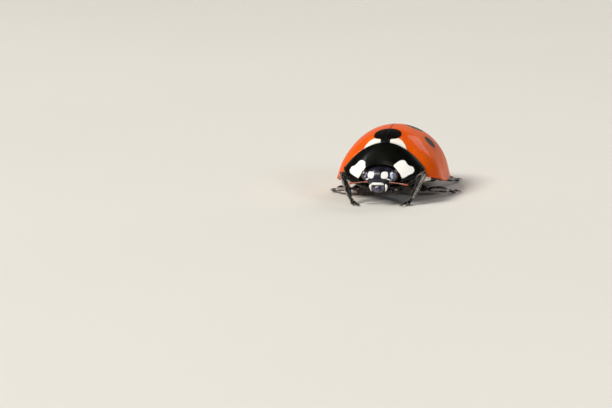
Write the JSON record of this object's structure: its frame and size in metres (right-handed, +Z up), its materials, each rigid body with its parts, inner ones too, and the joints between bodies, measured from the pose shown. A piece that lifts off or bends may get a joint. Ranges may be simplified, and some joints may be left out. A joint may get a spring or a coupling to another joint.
{
  "type": "seven-spot ladybird",
  "caption": "Life-size still model of a seven-spot ladybird standing on its six feet, wing cases closed and feelers spread.",
  "frame": {"origin": "on the floor, below the centre of the animal's bounding box", "axes": "+Y runs from the head to the tips of the wing cases, so the head points to -Y; +X is the animal's left side; +Z is up"},
  "size_m": [0.0067, 0.0073, 0.0034],
  "materials": {
    "wing_case": "glossy orange-red cuticle, fine pits, black spots and two white base patches",
    "scutellum": "glossy black cuticle",
    "pronotum": "glossy black cuticle with two ivory front corners",
    "head": "glossy black cuticle with two ivory spots",
    "eye": "glossy faceted compound eye",
    "clypeus": "smooth ivory cuticle",
    "labrum": "glossy black cuticle",
    "mandible": "ivory cuticle with dark tip",
    "antenna": "reddish-brown cuticle, darker club",
    "palp": "black-brown cuticle",
    "underside": "black cuticle with fine pale hairs and pits",
    "leg": "black cuticle with fine pale hairs"
  },
  "bodies": {
    "root": {"scutellum": "scutellum", "elytron_left": "wing_case", "elytron_right": "wing_case", "pronotum": "pronotum", "prosternum": "underside", "thorax": "underside", "abdomen": "underside", "head": "head", "eye_left": "eye", "eye_right": "eye", "clypeus": "clypeus", "labrum": "labrum", "mandible_left": "mandible", "mandible_right": "mandible", "antenna_left": "antenna", "antenna_right": "antenna", "palp_left": "palp", "palp_right": "palp", "coxa_front_left": "leg", "femur_front_left": "leg", "tibia_front_left": "leg", "tarsus_front_left": "leg", "coxa_front_right": "leg", "femur_front_right": "leg", "tibia_front_right": "leg", "tarsus_front_right": "leg", "coxa_middle_left": "leg", "femur_middle_left": "leg", "tibia_middle_left": "leg", "tarsus_middle_left": "leg", "coxa_middle_right": "leg", "femur_middle_right": "leg", "tibia_middle_right": "leg", "tarsus_middle_right": "leg", "coxa_hind_left": "leg", "femur_hind_left": "leg", "tibia_hind_left": "leg", "tarsus_hind_left": "leg", "coxa_hind_right": "leg", "femur_hind_right": "leg", "tibia_hind_right": "leg", "tarsus_hind_right": "leg"}
  },
  "joints": []
}
